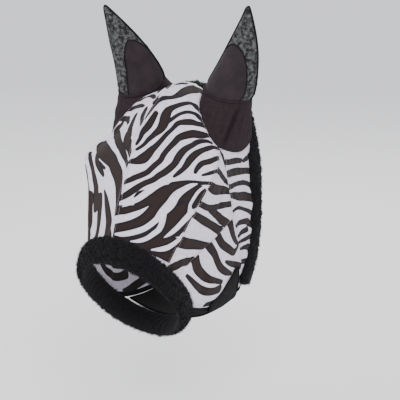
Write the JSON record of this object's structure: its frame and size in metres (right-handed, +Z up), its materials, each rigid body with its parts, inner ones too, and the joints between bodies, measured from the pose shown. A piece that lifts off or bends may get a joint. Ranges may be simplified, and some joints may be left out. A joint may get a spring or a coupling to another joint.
{
  "type": "fly mask with ears",
  "caption": "Horse fly mask: mesh face, eye, cheek and jowl panels, two ear covers, fleece nose roll and rear trim, and a hook-and-loop flap under the jaw.",
  "frame": {"origin": "on the mask's centre line at the poll, between the ears, where the mask hangs on the head", "axes": "+Z up, the horse faces -Y, the horse's left side is +X"},
  "size_m": [0.2721, 0.3322, 0.5588],
  "materials": {
    "zebra_mesh": "fine polyester mesh printed with zebra stripes, matt",
    "ear_cloth": "black stretch cloth, soft sheen",
    "ear_mesh": "black see-through mesh",
    "fleece": "black faux fur pile",
    "lining": "black knitted backing",
    "binding": "black woven tape",
    "loop": "black brushed loop tape",
    "hook": "black hook tape",
    "flap_cloth": "black padded cloth"
  },
  "bodies": {
    "mask": {"centre_seam_tape": "binding", "nose_fleece": "fleece", "nose_lining": "lining", "loop_strip": "loop", "face_panel_left": "zebra_mesh", "face_panel_right": "zebra_mesh", "eye_panel_left": "zebra_mesh", "eye_panel_right": "zebra_mesh", "cheek_panel_left": "zebra_mesh", "cheek_panel_right": "zebra_mesh", "jowl_panel_left": "zebra_mesh", "jowl_panel_right": "zebra_mesh", "ear_gusset_left": "ear_cloth", "ear_gusset_right": "ear_cloth", "eye_seam_tape_left": "binding", "eye_seam_tape_right": "binding", "cheek_seam_tape_left": "binding", "cheek_seam_tape_right": "binding", "rear_trim_left": "fleece", "rear_trim_right": "fleece", "jaw_binding_left": "binding", "jaw_binding_right": "binding"},
    "ear_left": {"ear_front_left": "ear_cloth", "ear_back_left": "ear_mesh", "ear_binding_left": "binding"},
    "ear_right": {"ear_front_right": "ear_cloth", "ear_back_right": "ear_mesh", "ear_binding_right": "binding"},
    "flap": {"closure_flap": "flap_cloth", "hook_strip": "hook"}
  },
  "joints": [
    {"name": "ear_left_turn", "type": "hinge", "parent": "mask", "child": "ear_left", "pos_m": [0.074, 0.042, -0.052], "axis": [0.2299, -0.1299, 0.9645], "range_deg": [-35, 35]},
    {"name": "ear_right_turn", "type": "hinge", "parent": "mask", "child": "ear_right", "pos_m": [-0.077, 0.042, -0.05], "axis": [-0.1204, -0.4063, 0.9058], "range_deg": [-55, 15]},
    {"name": "flap_open", "type": "hinge", "parent": "mask", "child": "flap", "pos_m": [-0.0755, 0.02, -0.392], "axis": [0.05, 0.9987, 0], "range_deg": [0, 120]}
  ]
}
